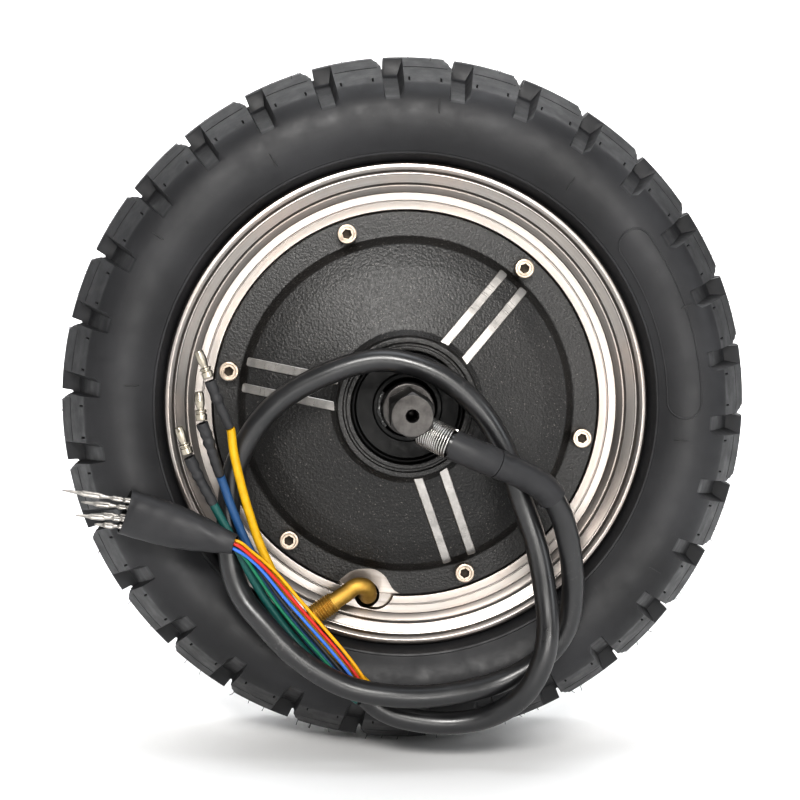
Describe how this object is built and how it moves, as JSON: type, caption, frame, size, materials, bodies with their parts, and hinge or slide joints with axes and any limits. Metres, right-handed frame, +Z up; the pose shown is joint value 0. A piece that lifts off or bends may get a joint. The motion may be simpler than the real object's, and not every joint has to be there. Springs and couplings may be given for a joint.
{
  "type": "hub motor wheel",
  "caption": "Brushless hub motor in an aluminium rim with a knobbly pneumatic tyre: the rim turns on a fixed hollow axle that brings out a motor cable.",
  "frame": {"origin": "wheel centre, on the axle line at the middle plane of the rim", "axes": "+Y along the axle from the cable side to the brake side, +Z up, +X to the right seen from the cable side"},
  "size_m": [0.2548, 0.16, 0.2546],
  "materials": {
    "tyre_rubber": "satin black vulcanised rubber",
    "rubber": "matt black butyl and nitrile rubber",
    "rim_aluminium": "turned and polished",
    "hub_aluminium": "as cast, machined faces",
    "black_paint": "fine-textured black powder coat, ribs machined bright",
    "bearing_steel": "ground and polished",
    "black_oxide": "black oxide, satin",
    "lamination": "stacked sheet edges",
    "magnet": "nickel plated magnets on a bonding film",
    "copper": "enamelled copper wire",
    "brass": "turned yellow brass",
    "screw_nickel": "nickel plated",
    "spring_steel": "bright drawn wire",
    "tinned": "dull tin plate",
    "plug_gold": "pale gold plating",
    "cable_pvc": "satin black jacket, lightly scuffed",
    "heat_shrink": "matt black shrink sleeve",
    "wire_yellow": "silicone insulation",
    "wire_blue": "silicone insulation",
    "wire_green": "silicone insulation",
    "wire_red": "PVC insulation",
    "wire_black": "PVC insulation",
    "board_green": "solder mask"
  },
  "bodies": {
    "stator": {"stator_hub": "hub_aluminium", "front_bearing_inner": "bearing_steel", "rear_bearing_inner": "bearing_steel", "axle": "black_oxide", "stator_core": "lamination", "winding_phase_a": "copper", "winding_phase_b": "copper", "winding_phase_c": "copper", "strain_relief_spring": "spring_steel", "terminal_red": "tinned", "terminal_yellow": "tinned", "terminal_green": "tinned", "terminal_blue": "tinned", "terminal_black": "tinned", "bullet_plug_yellow": "plug_gold", "bullet_plug_blue": "plug_gold", "bullet_plug_green": "plug_gold", "cable_jacket": "cable_pvc", "cable_sleeve_inner": "heat_shrink", "cable_sleeve_outer": "heat_shrink", "signal_tube": "heat_shrink", "bullet_shrink_yellow": "heat_shrink", "bullet_shrink_blue": "heat_shrink", "bullet_shrink_green": "heat_shrink", "phase_lead_yellow": "wire_yellow", "phase_lead_blue": "wire_blue", "phase_lead_green": "wire_green", "signal_lead_yellow": "wire_yellow", "signal_lead_blue": "wire_blue", "signal_lead_green": "wire_green", "signal_lead_red": "wire_red", "signal_lead_black": "wire_black", "hall_board": "board_green"},
    "rotor": {"tyre": "tyre_rubber", "inner_tube": "rubber", "valve_stem": "brass", "rim": "rim_aluminium", "flux_ring": "lamination", "magnet_ring": "magnet", "front_cover": "black_paint", "rear_cover": "black_paint", "front_seal": "rubber", "rear_seal": "rubber", "front_bearing_outer": "bearing_steel", "rear_bearing_outer": "bearing_steel", "front_cover_screw_1": "screw_nickel", "front_cover_screw_2": "screw_nickel", "front_cover_screw_3": "screw_nickel", "front_cover_screw_4": "screw_nickel", "front_cover_screw_5": "screw_nickel", "front_cover_screw_6": "screw_nickel", "rear_cover_screw_1": "screw_nickel", "rear_cover_screw_2": "screw_nickel", "rear_cover_screw_3": "screw_nickel", "rear_cover_screw_4": "screw_nickel", "rear_cover_screw_5": "screw_nickel", "rear_cover_screw_6": "screw_nickel"},
    "front_cage": {"front_ball_cage": "bearing_steel"},
    "rear_cage": {"rear_ball_cage": "bearing_steel"},
    "valve_core": {"valve_pin": "brass"}
  },
  "joints": [
    {"name": "wheel_spin", "type": "hinge", "parent": "stator", "child": "rotor", "pos_m": [0, 0, 0], "axis": [0, 1, 0], "continuous": true},
    {"name": "front_cage_spin", "type": "hinge", "parent": "stator", "child": "front_cage", "pos_m": [0, -0.0258, 0], "axis": [0, 1, 0], "continuous": true},
    {"name": "rear_cage_spin", "type": "hinge", "parent": "stator", "child": "rear_cage", "pos_m": [0, 0.0258, 0], "axis": [0, 1, 0], "continuous": true},
    {"name": "valve_press", "type": "slide", "parent": "rotor", "child": "valve_core", "axis": [0.8199, 0, 0.5725], "range_m": [0, 0.0009]}
  ],
  "couplings": [
    {"joint": "front_cage_spin", "follows": "wheel_spin", "ratio": 0.6024},
    {"joint": "rear_cage_spin", "follows": "wheel_spin", "ratio": 0.6024}
  ]
}
